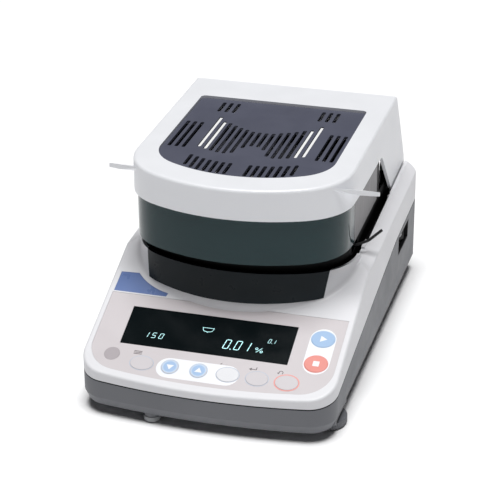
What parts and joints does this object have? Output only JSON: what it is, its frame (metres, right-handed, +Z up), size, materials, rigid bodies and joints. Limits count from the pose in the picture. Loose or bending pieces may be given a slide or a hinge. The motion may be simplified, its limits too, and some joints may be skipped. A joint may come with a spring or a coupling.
{
  "type": "moisture analyzer",
  "caption": "Bench moisture analyzer: sloped keypad panel, weighing pan in a round chamber and a hinged heating lid with a curved tinted glass front.",
  "frame": {"origin": "bottom centre of the instrument, on the table, midway between the sides and between the front and rear faces of the case", "axes": "+Z up, -Y towards the user (the keypad panel), X across the width"},
  "size_m": [0.215, 0.32, 0.173],
  "materials": {
    "case_grey": "textured",
    "case_white": "satin",
    "lid_white": "satin",
    "overlay": "satin foil",
    "plate_blue": "gloss",
    "dark_teal": "gloss",
    "black": "satin",
    "display_dark": "gloss",
    "display_glass": "gloss",
    "cover_glass": "gloss",
    "clear_glass": "gloss",
    "key_white": "satin",
    "key_blue": "satin",
    "key_coral": "satin",
    "grille_grey": "fine texture",
    "bright_metal": "bright",
    "brushed": "brushed",
    "steel": "satin",
    "aluminium": "machined",
    "chrome": "bright",
    "rubber": "matte",
    "board": "solder mask",
    "ceramic": "glazed",
    "brass": "machined"
  },
  "bodies": {
    "case": {"lower_case": "case_grey", "seam_gasket": "rubber", "upper_case": "case_white", "panel_overlay": "overlay", "display_window": "display_glass", "display_module": "display_dark", "keyboard_board": "board", "key_switches": "black", "corner_plate": "plate_blue", "round_inlay": "overlay", "front_apron": "dark_teal", "chamber_rim": "black", "drip_tray": "aluminium", "breeze_ring": "aluminium", "pan_support": "steel", "weighing_sensor": "aluminium", "sensor_base": "aluminium", "main_board": "board", "power_supply": "board", "chassis": "steel", "hinge_brackets": "steel", "hinge_pins": "steel", "ac_inlet": "black", "fuse_holder": "black", "serial_connector": "steel", "earth_terminal": "brass", "switch_frame": "black", "bubble_level": "clear_glass", "rear_feet": "rubber", "stop_foot": "rubber", "case_screws": "steel"},
    "lid": {"heater_cover": "lid_white", "grille": "grille_grey", "bright_strips": "bright_metal", "cover_glass": "cover_glass", "side_plates": "brushed", "inner_frame": "black", "reflector": "bright_metal", "lamp_holders": "ceramic", "halogen_lamps": "clear_glass", "lamp_guard": "clear_glass", "guard_ring": "steel", "temperature_sensor": "steel", "grips": "lid_white"},
    "rocker": {"power_rocker": "black"},
    "handle": {"pan_handle": "black"},
    "pan": {"sample_pan": "aluminium"},
    "key_program_cap": {"key_program": "key_white"},
    "key_down_cap": {"key_down": "key_white"},
    "key_up_cap": {"key_up": "key_white"},
    "key_select_cap": {"key_select": "key_white"},
    "key_enter_cap": {"key_enter": "key_white"},
    "key_reset_cap": {"key_reset": "key_white"},
    "key_start_cap": {"key_start": "key_blue"},
    "key_stop_cap": {"key_stop": "key_coral"},
    "pad_right": {"level_pad_right": "rubber"},
    "disc_right": {"level_disc_right": "case_grey"},
    "pad_left": {"level_pad_left": "rubber"},
    "disc_left": {"level_disc_left": "case_grey"}
  },
  "joints": [
    {"name": "lid_hinge", "type": "hinge", "parent": "case", "child": "lid", "pos_m": [0, 0.148, 0.097], "axis": [-1, 0, 0], "range_deg": [0, 60]},
    {"name": "key_program_press", "type": "slide", "parent": "case", "child": "key_program_cap", "axis": [0, 0.3714, -0.9285], "range_m": [0, 0.0005], "stiffness_N_per_m": 1200, "springref_m": -0.0005},
    {"name": "key_down_press", "type": "slide", "parent": "case", "child": "key_down_cap", "axis": [0, 0.3714, -0.9285], "range_m": [0, 0.0005], "stiffness_N_per_m": 1200, "springref_m": -0.0005},
    {"name": "key_up_press", "type": "slide", "parent": "case", "child": "key_up_cap", "axis": [0, 0.3714, -0.9285], "range_m": [0, 0.0005], "stiffness_N_per_m": 1200, "springref_m": -0.0005},
    {"name": "key_select_press", "type": "slide", "parent": "case", "child": "key_select_cap", "axis": [0, 0.3714, -0.9285], "range_m": [0, 0.0005], "stiffness_N_per_m": 1200, "springref_m": -0.0005},
    {"name": "key_enter_press", "type": "slide", "parent": "case", "child": "key_enter_cap", "axis": [0, 0.3714, -0.9285], "range_m": [0, 0.0005], "stiffness_N_per_m": 1200, "springref_m": -0.0005},
    {"name": "key_reset_press", "type": "slide", "parent": "case", "child": "key_reset_cap", "axis": [0, 0.3714, -0.9285], "range_m": [0, 0.0005], "stiffness_N_per_m": 1200, "springref_m": -0.0005},
    {"name": "key_start_press", "type": "slide", "parent": "case", "child": "key_start_cap", "axis": [0, 0.3714, -0.9285], "range_m": [0, 0.0005], "stiffness_N_per_m": 1200, "springref_m": -0.0005},
    {"name": "key_stop_press", "type": "slide", "parent": "case", "child": "key_stop_cap", "axis": [0, 0.3714, -0.9285], "range_m": [0, 0.0005], "stiffness_N_per_m": 1200, "springref_m": -0.0005},
    {"name": "power_rocker_tilt", "type": "hinge", "parent": "case", "child": "rocker", "pos_m": [0.0905, 0.1045, 0.05325], "axis": [0, 0, 1], "range_deg": [0, 14]},
    {"name": "level_right_height", "type": "slide", "parent": "case", "child": "pad_right", "axis": [0, 0, -1], "range_m": [-0.0021, 0.0021]},
    {"name": "level_right_turn", "type": "hinge", "parent": "pad_right", "child": "disc_right", "pos_m": [0.087, -0.118, 0], "axis": [0, 0, -1], "range_deg": [-720, 720]},
    {"name": "level_left_height", "type": "slide", "parent": "case", "child": "pad_left", "axis": [0, 0, -1], "range_m": [-0.0021, 0.0021]},
    {"name": "level_left_turn", "type": "hinge", "parent": "pad_left", "child": "disc_left", "pos_m": [-0.087, -0.118, 0], "axis": [0, 0, -1], "range_deg": [-720, 720]},
    {"name": "handle_lift", "type": "slide", "parent": "case", "child": "handle", "axis": [0, 0, 1], "range_m": [0, 0.004]},
    {"name": "pan_lift", "type": "slide", "parent": "case", "child": "pan", "axis": [0, 0, 1], "range_m": [0, 0.004]}
  ],
  "couplings": [
    {"joint": "level_right_height", "follows": "level_right_turn", "m_per_rad": 0.00015915},
    {"joint": "level_left_height", "follows": "level_left_turn", "m_per_rad": 0.00015915},
    {"joint": "pan_lift", "follows": "handle_lift", "ratio": 1}
  ]
}
